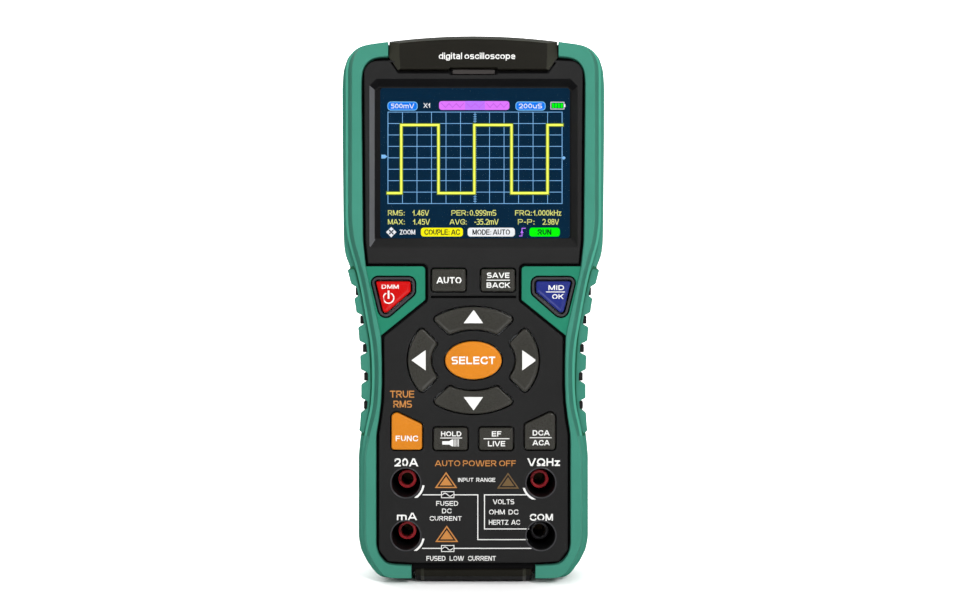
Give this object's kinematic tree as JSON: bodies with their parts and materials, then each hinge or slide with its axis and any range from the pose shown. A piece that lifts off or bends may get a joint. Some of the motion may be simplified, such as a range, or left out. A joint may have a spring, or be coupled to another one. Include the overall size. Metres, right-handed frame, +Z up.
{
  "type": "handheld oscilloscope",
  "caption": "Handheld digital oscilloscope with multimeter sockets, colour display, push keys, moulded rubber grips, battery door and fold-out tilt stand.",
  "frame": {"origin": "middle of the footprint, on the surface the instrument stands on with its bottom end down", "axes": "+Z up the instrument towards its top end, -Y out of its front face, +X to the right as seen from the front"},
  "size_m": [0.0958, 0.042, 0.1985],
  "materials": {
    "case_black": "fine spark-eroded texture",
    "grip_green": "soft matt elastomer",
    "key_grey": "matt",
    "key_red": "satin",
    "key_blue": "satin",
    "key_orange": "satin",
    "window_clear": "clear hard-coated acrylic",
    "screen": "lit liquid-crystal display",
    "indicator": "dark translucent",
    "socket_red": "satin",
    "socket_black": "satin",
    "brass": "plated",
    "steel": "zinc plated",
    "board": "glass-epoxy board with solder mask",
    "silicone": "silicone",
    "fuse_body": "glazed",
    "cell_wrap": "shrink sleeve",
    "rubber": "matt"
  },
  "bodies": {
    "case": {"top_end_cap": "case_black", "bottom_end_cap": "case_black", "front_grip_right": "grip_green", "front_grip_left": "grip_green", "side_grip_right": "grip_green", "side_grip_left": "grip_green", "front_case": "case_black", "display_window": "window_clear", "display_module": "screen", "indicator_lens": "indicator", "main_board": "board", "key_mat": "silicone", "buzzer": "case_black", "fuse_holder_20a": "brass", "fuse_20a": "fuse_body", "fuse_holder_ma": "brass", "fuse_ma": "fuse_body", "battery_cell_1": "cell_wrap", "battery_cell_2": "cell_wrap", "battery_contact_low": "steel", "battery_contact_high": "steel", "rear_case": "case_black", "torch_lens": "window_clear", "case_screw_1": "steel", "case_screw_2": "steel", "case_screw_3": "steel", "case_screw_4": "steel", "socket_shroud_20a": "case_black", "socket_sleeve_20a": "socket_red", "socket_contact_20a": "brass", "socket_shroud_volt": "case_black", "socket_sleeve_volt": "socket_red", "socket_contact_volt": "brass", "socket_shroud_ma": "case_black", "socket_sleeve_ma": "socket_red", "socket_contact_ma": "brass", "socket_shroud_com": "case_black", "socket_sleeve_com": "socket_black", "socket_contact_com": "brass"},
    "stand": {"tilt_stand": "case_black", "stand_foot_pad": "rubber"},
    "door": {"battery_door": "case_black", "door_screw_1": "steel", "door_screw_2": "steel"},
    "power_key": {"key_power": "key_red"},
    "confirm_key": {"key_confirm": "key_blue"},
    "auto_key": {"key_auto": "key_grey"},
    "save_key": {"key_save": "key_grey"},
    "up_key": {"key_up": "key_grey"},
    "down_key": {"key_down": "key_grey"},
    "right_key": {"key_right": "key_grey"},
    "left_key": {"key_left": "key_grey"},
    "select_key": {"key_select": "key_orange"},
    "function_key": {"key_function": "key_orange"},
    "range_key": {"key_range": "key_grey"},
    "hold_key": {"key_hold": "key_grey"},
    "live_key": {"key_live": "key_grey"}
  },
  "joints": [
    {"name": "stand_hinge", "type": "hinge", "parent": "case", "child": "stand", "pos_m": [0, 0.0188, 0.136], "axis": [1, 0, 0], "range_deg": [0, 50]},
    {"name": "battery_door_lift", "type": "slide", "parent": "case", "child": "door", "axis": [0, 1, 0], "range_m": [0, 0.04]},
    {"name": "power_press", "type": "slide", "parent": "case", "child": "power_key", "axis": [0, 1, 0], "range_m": [0, 0.0008], "stiffness_N_per_m": 2000},
    {"name": "confirm_press", "type": "slide", "parent": "case", "child": "confirm_key", "axis": [0, 1, 0], "range_m": [0, 0.0008], "stiffness_N_per_m": 2000},
    {"name": "auto_press", "type": "slide", "parent": "case", "child": "auto_key", "axis": [0, 1, 0], "range_m": [0, 0.0008], "stiffness_N_per_m": 2000},
    {"name": "save_press", "type": "slide", "parent": "case", "child": "save_key", "axis": [0, 1, 0], "range_m": [0, 0.0008], "stiffness_N_per_m": 2000},
    {"name": "up_press", "type": "slide", "parent": "case", "child": "up_key", "axis": [0, 1, 0], "range_m": [0, 0.0008], "stiffness_N_per_m": 2000},
    {"name": "down_press", "type": "slide", "parent": "case", "child": "down_key", "axis": [0, 1, 0], "range_m": [0, 0.0008], "stiffness_N_per_m": 2000},
    {"name": "right_press", "type": "slide", "parent": "case", "child": "right_key", "axis": [0, 1, 0], "range_m": [0, 0.0008], "stiffness_N_per_m": 2000},
    {"name": "left_press", "type": "slide", "parent": "case", "child": "left_key", "axis": [0, 1, 0], "range_m": [0, 0.0008], "stiffness_N_per_m": 2000},
    {"name": "select_press", "type": "slide", "parent": "case", "child": "select_key", "axis": [0, 1, 0], "range_m": [0, 0.0008], "stiffness_N_per_m": 2000},
    {"name": "function_press", "type": "slide", "parent": "case", "child": "function_key", "axis": [0, 1, 0], "range_m": [0, 0.0008], "stiffness_N_per_m": 2000},
    {"name": "range_press", "type": "slide", "parent": "case", "child": "range_key", "axis": [0, 1, 0], "range_m": [0, 0.0008], "stiffness_N_per_m": 2000},
    {"name": "hold_press", "type": "slide", "parent": "case", "child": "hold_key", "axis": [0, 1, 0], "range_m": [0, 0.0008], "stiffness_N_per_m": 2000},
    {"name": "live_press", "type": "slide", "parent": "case", "child": "live_key", "axis": [0, 1, 0], "range_m": [0, 0.0008], "stiffness_N_per_m": 2000}
  ]
}
